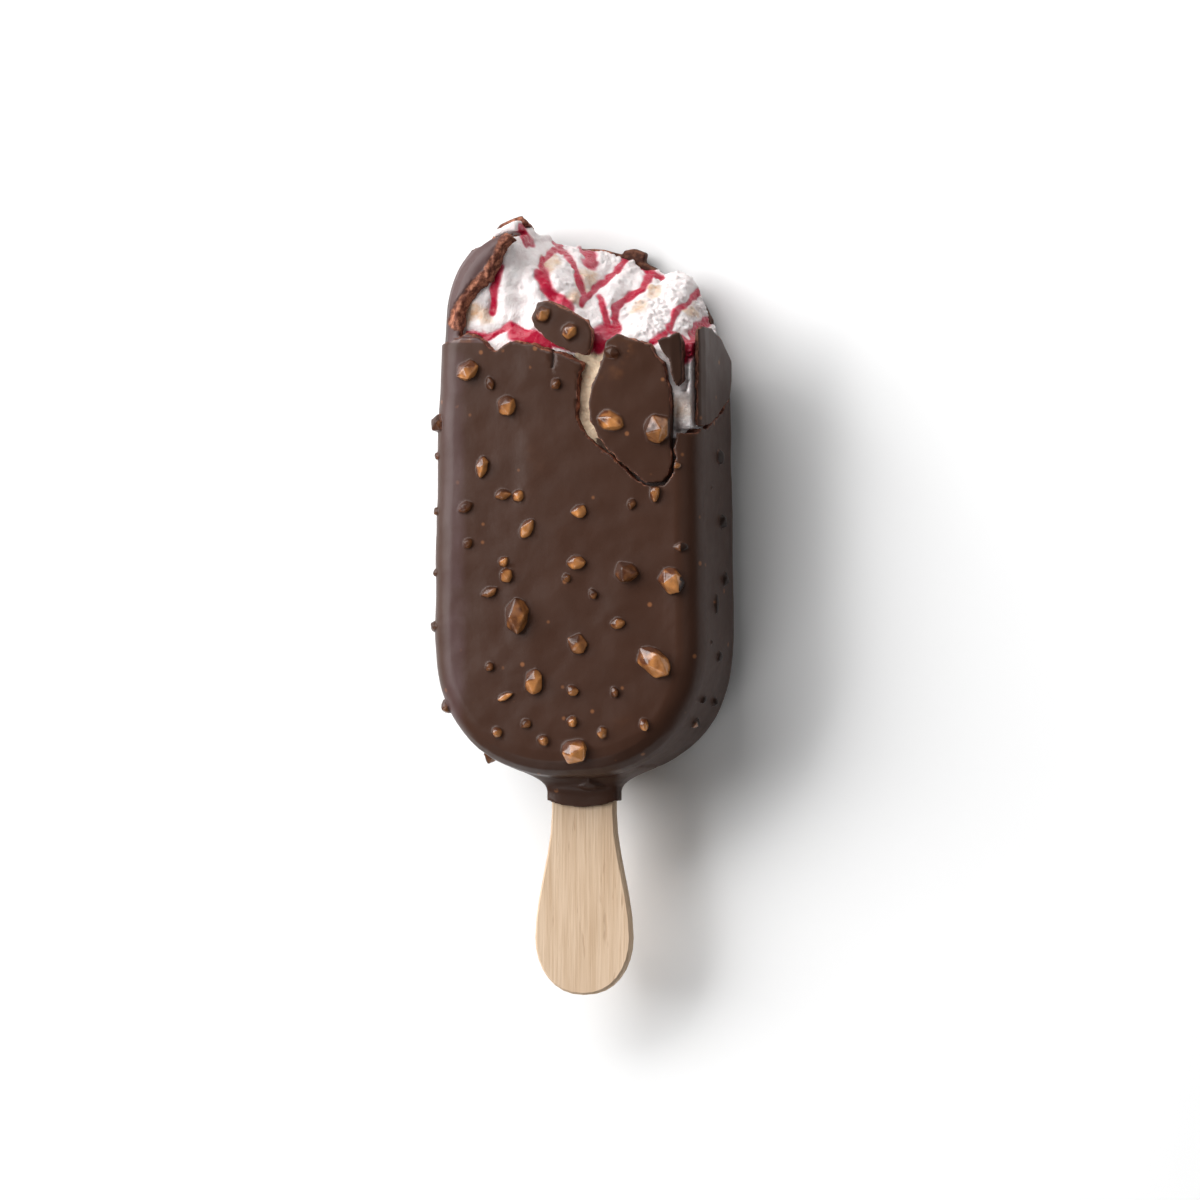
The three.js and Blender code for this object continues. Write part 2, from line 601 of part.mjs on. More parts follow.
// Nuts on the rounded edges and side walls, as [y, height above mid-thickness, length]
const RIGHT_NUTS = [
  [6.4, -0.8, 4], [-4.7, -1.6, 3.8], [-14.5, -2.7, 3.4], [-18.6, 2.2, 3.4], [-25.1, 4.9, 2],
  [-27.5, 0, 3.4], [-34.6, 4, 2.2], [-35, -3, 2.6], [1, 3.5, 2.2], [-38.6, 2, 3],
];
const LEFT_NUTS = [
  [12, 9.4, 4.4], [6.5, 9, 2.4], [-2.8, 9.3, 2.4], [-13.3, 9.2, 2.2], [-22.5, 8.8, 3.4],
  [-36, 8.6, 3.4], [-44.1, 5, 3.6], [17, 0, 3], [2, -3, 3.4], [-9, 2, 2.6], [-18, -4, 3.6], [-29, 1, 3],
];
const FLAP_NUTS = [[8.9, 12.2, 4.6, 3.4], [16.9, 10.6, 5, 4], [9, 24, 2.6, 2.2]];
const CHIP_NUTS = [[-3.3, 30.3, 2.6, 2.4], [1.5, 27.4, 2.8, 2.4]];
const BACK_NUT_COUNT = 26;
const BACK_NUT_SPACING = 7.6;

function frontNuts(list, seed) {
  const random = seededRandom(seed);
  return list.map(([x, y, length, width]) => {
    const height = 1.2 * Math.min(length, width) + 0.6;
    const depth = BAR_HALF_THICKNESS - 0.25 - FACE_CROWN * (Math.abs(x) / BAR_HALF_WIDTH);
    const drop = Math.max(0, Math.abs(x) - BAR_HALF_WIDTH + EDGE_RADIUS) * 0.35;
    const center = new THREE.Vector3(x, y, MID_HEIGHT + depth - drop);
    return nut(center, new THREE.Vector3(0, 0, 1), 1.15 * length, 1.15 * width, height, random);
  });
}

function sideNuts(list, side, seed) {
  const random = seededRandom(seed);
  return list.map(([y, z, length]) => {
    const cap = Math.max(0, Math.abs(z) - (BAR_HALF_THICKNESS - EDGE_RADIUS));
    const turn = Math.min(1, cap / EDGE_RADIUS);
    const { reach, power } = y > 0 ? BITTEN_END : STICK_END;
    const end = Math.max(0, (Math.abs(y) - STRAIGHT_HALF_LENGTH) / reach);
    const narrow = halfWidthAt(y) * (1 - (1 - end ** power) ** (1 / power));
    const inward = EDGE_RADIUS * (1 - Math.sqrt(1 - turn ** 2)) + narrow + 0.4;
    const center = new THREE.Vector3(side * (halfWidthAt(y) - inward), y, MID_HEIGHT + z);
    const normal = new THREE.Vector3(side, 0, turn * Math.sign(z)).normalize();
    return nut(center, normal, length, 0.8 * length, 0.75 * length, random);
  });
}

// Nuts of the back, spread evenly, with their feet cut flat at the table
function backNuts() {
  const random = seededRandom(41);
  const places = [[0, 0]];
  for (let trial = 0; trial < 900 && places.length < BACK_NUT_COUNT; trial++) {
    const x = (2 * random() - 1) * (BAR_HALF_WIDTH - 5);
    const y = (2 * random() - 1) * (STRAIGHT_HALF_LENGTH + STICK_END.reach - 7);
    const clear = places.every(([px, py]) => Math.hypot(x - px, y - py) > BACK_NUT_SPACING);
    const corner = Math.hypot(Math.max(0, Math.abs(x) - 10), Math.max(0, Math.abs(y) - 32)) < 9;
    if (clear && corner && y < 33 - 0.4 * x) places.push([x, y]);
  }
  return places.map(([x, y], i) => {
    const length = i === 0 ? 7.5 : 2.4 + 2.6 * random() ** 2;
    const center = new THREE.Vector3(x, y, NUT_FOOT + 0.4);
    const height = i === 0 ? 5 : 1.9 + 0.5 * length;
    return nut(center, new THREE.Vector3(0, 0, -1), length, 0.8 * length, height, random);
  });
}

function union(solids) {
  return solids.reduce((whole, solid) => whole.add(solid));
}

function largestPiece(solid) {
  return solid.decompose().sort((a, b) => b.volume() - a.volume())[0];
}

// Piece of the shell turned about its middle and lifted out of place
function lifted(solid, shift, tilt) {
  const geometry = toGeometry(solid);
  geometry.computeBoundingBox();
  const middle = geometry.boundingBox.getCenter(new THREE.Vector3());
  geometry.translate(-middle.x, -middle.y, -middle.z);
  geometry.rotateX(THREE.MathUtils.degToRad(tilt.x));
  geometry.rotateY(THREE.MathUtils.degToRad(tilt.y));
  geometry.translate(middle.x + shift.x, middle.y + shift.y, middle.z + shift.z);
  return toSolid(geometry);
}

function addPiece(group, name, solid, color, roughness) {
  const material = new THREE.MeshStandardMaterial({ color, roughness, metalness: 0 });
  material.name = name;
  const mesh = new THREE.Mesh(toGeometry(solid), material);
  mesh.name = name;
  group.add(mesh);
}

const outer = barBody(0, 28, 6);
const inner = barBody(COATING_THICKNESS, 20, 3);
const creamBody = barBody(COATING_THICKNESS + FIT_GAP, 20, 3);
const slot = stickBlank(FIT_GAP, 0);
// The corner left standing beside the bite, and what lies inside its sunken wall
function cornerBlock(grow) {
  const crack = ragged([[-30, 24.8], [-22.6, 25.4], [-19.6, 26.4], [-8, 27.4]], 1.5, 0.2, 16);
  const outline = [...crack, [-8, 46.2], [-13, 50], [-30, 50]];
  return prism(shrunk(outline, -grow), CORNER_FOOT - grow, CUT_TOP + grow);
}

const standingCorner = cornerBlock(0);
const joinedCorner = cornerBlock(0.1);
const cornerCore = barBody(CORNER_INSET + COATING_THICKNESS - FIT_GAP, 20, 3, CORNER_END);
const creamCore = barBody(CORNER_INSET + COATING_THICKNESS, 20, 3, CORNER_END);
const aboveTable = prism([[-60, -60], [60, -60], [60, 60], [-60, 60]], -MID_HEIGHT, 40);

function coatingSolid() {
  const nuts = union([
    ...frontNuts(FRONT_NUTS, 21),
    ...sideNuts(RIGHT_NUTS, 1, 22),
    ...sideNuts(LEFT_NUTS, -1, 23),
    ...backNuts(),
  ]);
  const main = outer.subtract(standingCorner).add(collar()).add(nuts).subtract(inner);
  const sunken = barBody(CORNER_INSET, 28, 6, CORNER_END).intersect(joinedCorner).subtract(cornerCore);
  const shell = main.add(sunken).subtract(slot).subtract(breakCutters());
  return largestPiece(shell.intersect(aboveTable));
}

function creamSolid() {
  const inCorner = creamBody.intersect(cornerBlock(0.6)).intersect(creamCore);
  const wedge = prism(WEDGE_OUTLINE, PEAK_FOOT + FIT_GAP, WEDGE_TOP);
  const inPeak = barBody(WEDGE_INSET, 28, 6).intersect(wedge);
  const whole = creamBody.subtract(cornerBlock(0.5)).add(inCorner).add(inPeak);
  const beside = leaningPrism(CREAM_PEAK_EDGE, PEAK_FOOT);
  return largestPiece(whole.subtract(slot).subtract(biteCutter()).subtract(beside));
}

function loosePiece(outline, nuts) {
  const block = prism(shrunk(outline, FIT_GAP / 2), CUT_DEPTH, CUT_TOP);
  const whole = nuts.length ? outer.add(union(nuts)) : outer;
  return largestPiece(whole.subtract(inner).intersect(block));
}

function sideFlake() {
  const block = sidePrism(shrunk(FLAKE_OUTLINE, FIT_GAP / 2), FLAKE_INNER_X, 30);
  const brokenFront = sidePrism([[5, 8.8], [35, 8.8], [35, 16], [5, 16]], 15, 22.7);
  return largestPiece(outer.subtract(inner).intersect(block).subtract(brokenFront));
}

const group = new THREE.Group();
group.name = "ice_cream_bar";

addPiece(group, "coating", coatingSolid(), CHOCOLATE, 0.35);
addPiece(group, "cream", creamSolid(), CREAM, 0.6);
addPiece(group, "stick", stickBlank(0, STICK_BEVEL), WOOD, 0.7);
addPiece(
  group,
  "flap",
  lifted(
    loosePiece(FLAP_OUTLINE, frontNuts(FLAP_NUTS, 31)),
    new THREE.Vector3(0.1, 0, 0.45),
    new THREE.Vector3(1.2, 1.6, 0),
  ),
  CHOCOLATE,
  0.35,
);
addPiece(
  group,
  "top_chip",
  lifted(
    loosePiece(CHIP_OUTLINE, frontNuts(CHIP_NUTS, 32)),
    new THREE.Vector3(0, 0.1, 0.55),
    new THREE.Vector3(4, -3, 0),
  ),
  CHOCOLATE,
  0.35,
);
addPiece(
  group,
  "shard",
  lifted(
    loosePiece(SHARD_OUTLINE, []),
    new THREE.Vector3(0.3, 0.2, 0.35),
    new THREE.Vector3(0, 3, 0),
  ),
  CHOCOLATE,
  0.35,
);
addPiece(
  group,
  "side_flake",
  lifted(sideFlake(), new THREE.Vector3(0.4, 0, 0), new THREE.Vector3(0, 0, 0)),
  CHOCOLATE,
  0.35,
);

export default group;
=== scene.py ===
import math

import bmesh
import bpy
import numpy as np
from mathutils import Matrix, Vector


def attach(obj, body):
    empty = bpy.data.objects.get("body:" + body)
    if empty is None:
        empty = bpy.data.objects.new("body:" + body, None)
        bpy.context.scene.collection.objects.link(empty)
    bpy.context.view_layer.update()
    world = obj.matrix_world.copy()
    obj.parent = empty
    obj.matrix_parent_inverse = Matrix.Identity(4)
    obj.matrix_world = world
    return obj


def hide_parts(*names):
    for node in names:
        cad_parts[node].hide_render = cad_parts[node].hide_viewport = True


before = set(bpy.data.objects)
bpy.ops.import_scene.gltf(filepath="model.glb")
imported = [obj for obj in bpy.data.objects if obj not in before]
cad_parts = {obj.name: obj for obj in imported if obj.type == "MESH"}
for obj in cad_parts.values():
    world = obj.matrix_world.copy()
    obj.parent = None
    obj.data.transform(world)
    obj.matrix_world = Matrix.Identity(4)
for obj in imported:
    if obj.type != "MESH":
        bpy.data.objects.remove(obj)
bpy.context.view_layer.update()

mm = 0.001

# the whole bar before the bite in mm, the same form as the frame's
bar = {
    "halfWidth": 23.8,
    "taper": 0.0146,
    "straight": 24.0,
    "stickEnd": (24.1, 2.3),  # how far the end reaches, and the power of its curve
    "bittenEnd": (24.6, 3.0),
    "cornerEnd": (24.1, 2.5),
    "lean": 0.5,
    "halfThickness": 12.2,
    "crown": 0.5,
    "edgeRadius": 4.5,
    "midHeight": 13.1,
    "cornerInset": 0.55,
    "cornerRight": -8,
    "cornerStart": 25.8,
    "cornerFoot": 1.0,
}
# the photograph: its turn about the bar's length and where its middle lies
photo = {
    "turn": math.radians(18),
    "distance": 2.5,
    "width": 0.2041,
    "right": 2.64,
    "up": -17.94,
    "pixelsPerMm": 5.88,
    "middleX": 584.5,
    "middleY": 494.5,
}
rightward = np.array([math.cos(photo["turn"]), 0, -math.sin(photo["turn"])])
towards = np.array([math.sin(photo["turn"]), 0, math.cos(photo["turn"])])


def mix(a, b, t):
    return a + (b - a) * t


def smoothStep(low, high, x):
    t = np.clip((x - low) / (high - low), 0, 1)
    return t * t * (3 - 2 * t)


def spaceNoise(p, size, seed):
    q = p / size + seed * 17.3
    base = np.floor(q)
    t = q - base
    t = t * t * (3 - 2 * t)
    total = np.zeros(len(p))
    for corner in range(8):
        step = np.array([corner & 1, corner >> 1 & 1, corner >> 2 & 1])
        wave = np.sin((base + step) @ np.array([127.1, 311.7, 74.7])) * 43758.5453
        weight = np.prod(np.where(step, t, 1 - t), axis=1)
        total += weight * (2 * (wave - np.floor(wave)) - 1)
    return total


# place in the photograph, in mm from the bar's middle, right and up
def photoPlace(pixelX, pixelY):
    return np.array([pixelX - photo["middleX"], photo["middleY"] - pixelY]) / photo["pixelsPerMm"]


# place on the front face that shows at a pixel of the photograph
def onFront(pixelX, pixelY, height=12.2):
    u, y = photoPlace(pixelX, pixelY)
    return (u + height * math.sin(photo["turn"])) / math.cos(photo["turn"]), y


# points as the photograph shows them, in mm right and up
def seenFrom(p):
    return np.column_stack([p @ rightward, p[:, 1]])


def strokeDistance(seen, path):
    best = np.full(len(seen), 1e9)
    spots = [photoPlace(*spot) for spot in path]
    for a, b in zip(spots, spots[1:]):
        t = np.clip((seen - a) @ (b - a) / ((b - a) @ (b - a)), 0, 1)
        best = np.minimum(best, np.linalg.norm(seen - a - t[:, None] * (b - a), axis=1))
    return best


def makeActive(obj):
    bpy.ops.object.select_all(action="DESELECT")
    obj.select_set(True)
    bpy.context.view_layer.objects.active = obj


def applyModifiers(obj):
    makeActive(obj)
    for modifier in list(obj.modifiers):
        bpy.ops.object.modifier_apply(modifier=modifier.name)


def nodeCopy(node, name):
    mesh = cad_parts[node].data.copy()
    mesh.materials.clear()
    obj = bpy.data.objects.new(name, mesh)
    bpy.context.collection.objects.link(obj)
    form = bmesh.new()
    form.from_mesh(mesh)
    bmesh.ops.remove_doubles(form, verts=form.verts, dist=1e-6)
    bmesh.ops.recalc_face_normals(form, faces=form.faces)
    form.to_mesh(mesh)
    form.free()
    return obj


# points in mm from the middle of the bar's thickness
def inBar(obj):
    flat = np.empty(len(obj.data.vertices) * 3)
    obj.data.vertices.foreach_get("co", flat)
    return flat.reshape(-1, 3) / mm - [0, 0, bar["midHeight"]]


def setInBar(obj, p):
    flat = ((p + [0, 0, bar["midHeight"]]) * mm).astype(np.float32)
    obj.data.vertices.foreach_set("co", flat.ravel())
    obj.data.update()


def pointNormals(obj):
    flat = np.empty(len(obj.data.vertices) * 3)
    obj.data.vertices.foreach_get("normal", flat)
    return flat.reshape(-1, 3)


def triangleCount(obj):
    return sum(len(polygon.vertices) - 2 for polygon in obj.data.polygons)


# a value on every point, for the materials
def paint(obj, name, values):
    layer = obj.data.attributes.new(name, "FLOAT", "POINT")
    layer.data.foreach_set("value", np.asarray(values, dtype=np.float32))


def meltTogether(obj, voxel, smoothing):
    remesh = obj.modifiers.new("melt", "REMESH")
    remesh.mode = "VOXEL"
    remesh.voxel_size = voxel * mm
    smooth = obj.modifiers.new("smooth", "SMOOTH")
    smooth.factor = 0.5
    smooth.iterations = smoothing
    applyModifiers(obj)


def thinOut(obj, triangles):
    before = triangleCount(obj)
    if before > triangles:
        fewer = obj.modifiers.new("fewer", "DECIMATE")
        fewer.ratio = triangles / before
        applyModifiers(obj)
    print(obj.name, before, "->", triangleCount(obj), "triangles")


def finishPiece(obj, node, material):
    obj.data.materials.clear()
    obj.data.materials.append(material)
    makeActive(obj)
    bpy.ops.object.shade_smooth_by_angle(angle=math.pi, keep_sharp_edges=False)
    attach(obj, "root")
    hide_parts(node)


# how deep points lie under the bar's skin, in mm, with one form of the bitten end
def depthUnder(p, bittenEnd):
    y, z = p[:, 1], np.abs(p[:, 2])
    left = np.clip(-p[:, 0] / bar["halfWidth"], 0, 1)
    lean = bar["lean"] * smoothStep(8, 24, y) * (1 - 0.5 * smoothStep(28, 38, y))
    x = np.abs(p[:, 0] - left * lean)
    reach = np.where(y > 0, bittenEnd[0], bar["stickEnd"][0])
    power = np.where(y > 0, bittenEnd[1], bar["stickEnd"][1])
    half = bar["halfWidth"] - bar["taper"] * np.clip(y, -bar["straight"], bar["straight"])
    t = np.maximum(0, (np.abs(y) - bar["straight"]) / reach)
    level = np.maximum(1e-6, ((x / half) ** power + t**power) ** (1 / power))
    slopeX = (x / half / level) ** (power - 1) / half
    slopeY = (t / level) ** (power - 1) / reach
    outline = (level - 1) / np.maximum(1e-6, np.hypot(slopeX, slopeY))
    radius = bar["edgeRadius"]
    inner = np.minimum(1, level / (1 - radius / half))
    across = outline + radius
    up = z - bar["halfThickness"] + bar["crown"] * inner**2 + radius
    outside = np.hypot(np.maximum(across, 0), np.maximum(up, 0))
    return radius - outside - np.minimum(np.maximum(across, up), 0)


# the corner of the shell that still stands beside the bite
def inCorner(p, start=bar["cornerStart"]):
    return (p[:, 0] < bar["cornerRight"]) & (p[:, 1] > start) & (p[:, 2] > bar["cornerFoot"])


# depth under the coating as it stands, with its sunken corner
def skinDepth(p):
    sunken = depthUnder(p, bar["cornerEnd"]) - bar["cornerInset"]
    return np.where(inCorner(p), sunken, depthUnder(p, bar["bittenEnd"]))


# outward directions of the unbroken skin
def skinNormals(p):
    step = 0.05
    slope = np.column_stack([skinDepth(p - axis) - skinDepth(p + axis) for axis in step * np.eye(3)])
    return slope / np.maximum(1e-6, np.linalg.norm(slope, axis=1))[:, None]


# a shader socket that can be added, subtracted and multiplied
class Sock:
    def __init__(self, look, out):
        self.look = look
        self.out = out

    def math(self, operation, first, second):
        return self.look.make("ShaderNodeMath", {"operation": operation}, [first, second])

    def __add__(self, other):
        return self.math("ADD", self, other)

    def __sub__(self, other):
        return self.math("SUBTRACT", self, other)

    def __rsub__(self, other):
        return self.math("SUBTRACT", other, self)

    def __mul__(self, other):
        return self.math("MULTIPLY", self, other)

    __radd__ = __add__
    __rmul__ = __mul__

    def between(self, low, high):
        settings = {"interpolation_type": "SMOOTHSTEP"}
        inputs = {"Value": self, "From Min": low, "From Max": high}
        return self.look.make("ShaderNodeMapRange", settings, inputs)


# a material that makes its own nodes
class Look:
    def __init__(self, name):
        self.material = bpy.data.materials.new(name)
        self.material.use_nodes = True
        self.tree = self.material.node_tree
        self.shader = self.tree.nodes["Principled BSDF"]

    def make(self, kind, settings=None, inputs=None, output=0):
        node = self.tree.nodes.new(kind)
        for key, value in (settings or {}).items():
            setattr(node, key, value)
        pairs = enumerate(inputs) if isinstance(inputs, list) else (inputs or {}).items()
        for key, value in pairs:
            self.connect(node.inputs[key], value)
        return Sock(self, node.outputs[output])

    def connect(self, socket, value):
        if isinstance(value, Sock):
            self.tree.links.new(value.out, socket)
        else:
            socket.default_value = value

    def set(self, **values):
        for name, value in values.items():
            self.connect(self.shader.inputs[name.replace("_", " ")], value)

    def attribute(self, name):
        return self.make("ShaderNodeAttribute", {"attribute_name": name}, output="Fac")

    def place(self, stretch=(1, 1, 1)):
        coords = self.make("ShaderNodeTexCoord", output="Object")
        return self.make("ShaderNodeVectorMath", {"operation": "MULTIPLY"}, [coords, stretch])

    def noise(self, size, detail=3.0, roughness=0.5, stretch=(1, 1, 1)):
        inputs = {"Vector": self.place(stretch), "Scale": 1 / size, "Detail": detail, "Roughness": roughness}
        return self.make("ShaderNodeTexNoise", None, inputs)

    def spots(self, size):
        return self.make("ShaderNodeTexVoronoi", None, {"Vector": self.place(), "Scale": 1 / size})

    def blend(self, amount, first, second):
        node = self.tree.nodes.new("ShaderNodeMix")
        node.data_type = "RGBA"
        self.connect(node.inputs[0], amount)
        self.connect(node.inputs[6], first if isinstance(first, Sock) else (*first, 1))
        self.connect(node.inputs[7], second if isinstance(second, Sock) else (*second, 1))
        return Sock(self, node.outputs[2])

    def bump(self, height, distance, strength=1.0):
        inputs = {"Height": height, "Distance": distance, "Strength": strength}
        self.set(Normal=self.make("ShaderNodeBump", None, inputs))


chocolateColors = {
    "skin": (0.042, 0.0165, 0.0088),
    "lightSkin": (0.053, 0.0215, 0.0122),
    "speck": (0.22, 0.085, 0.033),
    # matt grey bloom, also used as the painted highlight
    "bloomAndHighlight": (0.082, 0.045, 0.043),
    # the nut's shaded side and its painted glow
    "nutShade": (0.1, 0.028, 0.009),
    "nutGlow": (0.74, 0.31, 0.095),
    "tornDeep": (0.1, 0.028, 0.016),
    "tornPale": (0.42, 0.165, 0.095),
    # painted shade, near black
    "paintedShade": (0.012, 0.005, 0.003),
}


# "nut" shows roasted nut, "paintedGlow" a painted glow on its lit side, "broken" is torn chocolate,
# "bloomAndHighlight" matt bloom and painted highlight
def chocolateLook():
    look = Look("chocolate")
    colors = chocolateColors
    nut = look.attribute("nut")
    paintedGlow = look.attribute("paintedGlow")
    broken = look.attribute("broken")
    streaks = look.noise(0.0011, 4.0, 0.6, (1, 1, 1.8))
    skin = look.blend(look.noise(0.006, 2.0), colors["skin"], colors["lightSkin"])
    specks = (1 - look.spots(0.0042).between(0.05, 0.13)) * look.noise(0.004).between(0.4, 0.46)
    specked = look.blend(specks * 0.85, skin, colors["speck"])
    # bloom and painted highlight: mottled lighter grey skin
    bloomedAndHighlighted = look.blend(look.attribute("bloomAndHighlight"), specked, colors["bloomAndHighlight"])
    # painted glow: shaded nut brown up to a lit golden glow
    roasted = look.blend(paintedGlow + streaks * 0.6 - 0.3, colors["nutShade"], colors["nutGlow"])
    torn = look.blend(streaks.between(0.38, 0.7), colors["tornDeep"], colors["tornPale"])
    color = look.blend(broken, look.blend(nut, bloomedAndHighlighted, roasted), torn)
    # painted shade darkens the colour towards near black
    look.set(Base_Color=look.blend(look.attribute("paintedShade"), color, colors["paintedShade"]))
    look.set(Roughness=0.33 + broken * 0.3 - nut * 0.1 + look.noise(0.0022, 3.0) * 0.08)
    look.set(Coat_Weight=nut * 0.85, Coat_Roughness=0.12, IOR=1.3)
    waves = look.noise(0.0045, 2.0, 0.45)
    grit = look.noise(0.0006, 4.0, 0.65)
    look.bump(waves * 0.5 + grit * (0.05 + broken * 0.7), 0.0005, 0.5)
    return look.material


creamColors = {
    "shade": (0.78, 0.7, 0.695),
    "light": (0.89, 0.84, 0.83),
    "toastPale": (0.68, 0.49, 0.33),
    "toastDeep": (0.62, 0.33, 0.13),
    "inner": (0.8, 0.6, 0.37),
    "pink": (0.52, 0.055, 0.11),
    "crimson": (0.38, 0.004, 0.03),
    # smeared chocolate, and painted shade in the closed crack
    "smearAndShade": (0.05, 0.018, 0.01),
}


# "sauce" is where berry ripple lies, "core" its deep middle, "tan" toasted cream, "inner" the
# yellow cream in the crack, "smearAndShade" smeared chocolate and painted shade in the closed crack
def creamLook():
    look = Look("iceCream")
    colors = creamColors
    sauce = look.attribute("sauce")
    grain = look.noise(0.0016, 5.0, 0.6)
    base = look.blend(grain.between(0.3, 0.7), colors["shade"], colors["light"])
    toast = look.blend(look.noise(0.0012, 3.0).between(0.48, 0.62), colors["toastPale"], colors["toastDeep"])
    warm = look.blend(look.attribute("tan"), base, toast)
    yellow = look.blend(look.attribute("inner"), warm, colors["inner"])
    pink = look.blend(sauce * 0.9, yellow, colors["pink"])
    red = look.blend(look.attribute("core"), pink, colors["crimson"])
    # smeared chocolate and painted shade on the cream
    look.set(Base_Color=look.blend(look.attribute("smearAndShade"), red, colors["smearAndShade"]))
    look.set(Roughness=0.55 - sauce * 0.32 + grain * 0.1)
    look.set(Coat_Weight=sauce * 0.12, Coat_Roughness=0.08, IOR=1.3)
    look.set(Subsurface_Weight=0.08, Subsurface_Radius=(1.0, 0.6, 0.5), Subsurface_Scale=0.0005)
    pores = look.noise(0.0004, 4.0, 0.7)
    look.bump(grain * 0.5 + pores * 0.45 * (1 - sauce), 0.0006, 0.7)
    return look.material


birchColors = {
    "pale": (0.59, 0.435, 0.3),
    "band": (0.5, 0.35, 0.225),
    "fibre": (0.41, 0.265, 0.155),
    "fleck": (0.36, 0.225, 0.13),
}


def birchLook():
    look = Look("birch")
    colors = birchColors
    bands = look.noise(0.0016, 3.0, 0.55, (1, 0.05, 1))
    fibres = look.noise(0.00035, 3.0, 0.6, (1, 0.03, 1))
    flecks = look.noise(0.0009, 2.0, 0.5, (1, 0.16, 1)).between(0.62, 0.74)
    base = look.blend(bands.between(0.35, 0.68), colors["pale"], colors["band"])
    fine = look.blend(fibres.between(0.45, 0.75) * 0.5, base, colors["fibre"])
    look.set(Base_Color=look.blend(flecks * 0.45, fine, colors["fleck"]))
    look.set(Roughness=0.6 + bands * 0.15)
    look.bump(fibres * 0.7 + flecks * -0.3, 0.0002, 0.5)
    return look.material


def floorLook():
    look = Look("floor")
    look.set(Base_Color=(0.9, 0.9, 0.9, 1), Roughness=0.8)
    return look.material


# camera at the photograph's angle
def addCamera():
    aim = np.array([0, photo["up"], bar["midHeight"]]) + rightward * photo["right"]
    camera = bpy.data.cameras.new("camera")
    camera.sensor_width = 36
    camera.lens = 36 * photo["distance"] / photo["width"]
    cameraObject = bpy.data.objects.new("camera", camera)
    cameraObject.location = aim * mm + towards * photo["distance"]
    cameraObject.rotation_euler = (0, photo["turn"], 0)
    bpy.context.collection.objects.link(cameraObject)
    bpy.context.scene.camera = cameraObject


# soft square lamps that look at the middle of the scene, in metres and watts
lights = {
    "keyLeft": {"place": (-0.85, 0.35, 0.6), "size": 0.9, "power": 18},
    "bandLeft": {"place": (-0.7, -0.05, 0.9), "size": 0.32, "power": 0.9},
    "topBack": {"place": (-0.3, 0.95, 0.85), "size": 0.8, "power": 10.5},
    "fillRight": {"place": (0.6, 0.1, 0.95), "size": 0.6, "power": 0.6},
    "lowFront": {"place": (-0.5, -0.95, 0.7), "size": 0.6, "power": 2.4},
}
worldStrength = 0.13


def addLights():
    for name, light in lights.items():
        lamp = bpy.data.lights.new(name, "AREA")
        lamp.shape = "SQUARE"
        lamp.size = light["size"]
        lamp.energy = light["power"]
        lampObject = bpy.data.objects.new(name, lamp)
        lampObject.location = light["place"]
        lampObject.rotation_euler = Vector(light["place"]).to_track_quat("Z", "Y").to_euler()
        bpy.context.collection.objects.link(lampObject)
    world = bpy.data.worlds.new("softWorld")
    world.use_nodes = True
    world.node_tree.nodes["Background"].inputs["Color"].default_value = (1, 1, 1, 1)
    world.node_tree.nodes["Background"].inputs["Strength"].default_value = worldStrength
    bpy.context.scene.world = world
    bpy.context.scene.view_settings.view_transform = "Standard"


def addFloor():
    bpy.ops.object.select_all(action="DESELECT")
    bpy.ops.mesh.primitive_plane_add(size=6, location=(0, 0, 0))
    floor = bpy.context.active_object
    floor.name = "floor"
    floor.data.materials.append(floorLook())


addCamera()
addLights()
addFloor()
print("stage done")

# nuts of the front by their pixel in the photograph: how far the roasted nut shows and how strong its
# painted glow is, and its reach in mm
frontNuts = [
    (468, 372, 1.0, 3.0), (508, 405, 0.8, 2.4), (490, 384, 0.1, 1.2), (560, 385, 0.25, 1.1),
    (537, 430, 0.9, 1.2), (558, 446, 0.9, 1.3), (482, 466, 0.85, 2.4), (504, 495, 0.5, 1.5),
    (519, 497, 0.95, 1.5), (465, 507, 0.1, 1.6), (527, 530, 1.0, 2.2), (582, 514, 1.0, 2.4),
    (632, 504, 0.2, 1.4), (659, 490, 0.6, 2.0), (502, 562, 0.9, 1.2), (506, 575, 0.8, 1.6),
    (487, 592, 0.4, 1.6), (577, 562, 1.0, 2.0), (567, 578, 0.3, 1.1), (594, 595, 0.3, 1.2),
    (628, 573, 0.15, 2.6), (676, 581, 1.0, 3.0), (517, 617, 0.4, 3.4), (579, 646, 0.55, 2.3),
    (621, 625, 0.6, 1.8), (658, 662, 0.9, 3.9), (536, 681, 1.0, 3.0), (489, 667, 0.15, 1.5),
    (467, 682, 0.8, 1.1), (505, 697, 1.0, 1.8), (574, 691, 0.9, 1.4), (616, 692, 0.2, 1.4),
    (526, 724, 0.3, 1.3), (496, 733, 0.7, 1.1), (544, 738, 0.7, 1.2), (574, 721, 0.8, 1.5),
    (603, 733, 0.8, 1.3), (646, 725, 0.9, 1.3), (574, 757, 1.0, 2.9), (701, 518, 0.8, 1.8),
    (695, 546, 0.5, 1.4), (692, 463, 0.7, 1.2), (680, 466, 0.4, 1.2), (688, 695, 0.5, 1.6),
    (583, 786, 0.1, 2.2), (616, 423, 1.0, 2.9), (661, 432, 0.5, 2.7), (615, 353, 0.0, 2.2),
    (545, 314, 0.7, 1.6), (570, 332, 1.0, 1.9),
]
# middle of the broad torn rim of the standing corner, in the photograph
cornerRim = [
    (513, 232), (506, 244), (501, 257), (494, 268), (489, 276),
    (480, 285), (467, 302), (460, 312), (456, 322),
]
# thin crack below the small loose plate, in the photograph
hairline = {"path": [(553, 349), (553.6, 358), (552.6, 368)], "depth": 0.35}
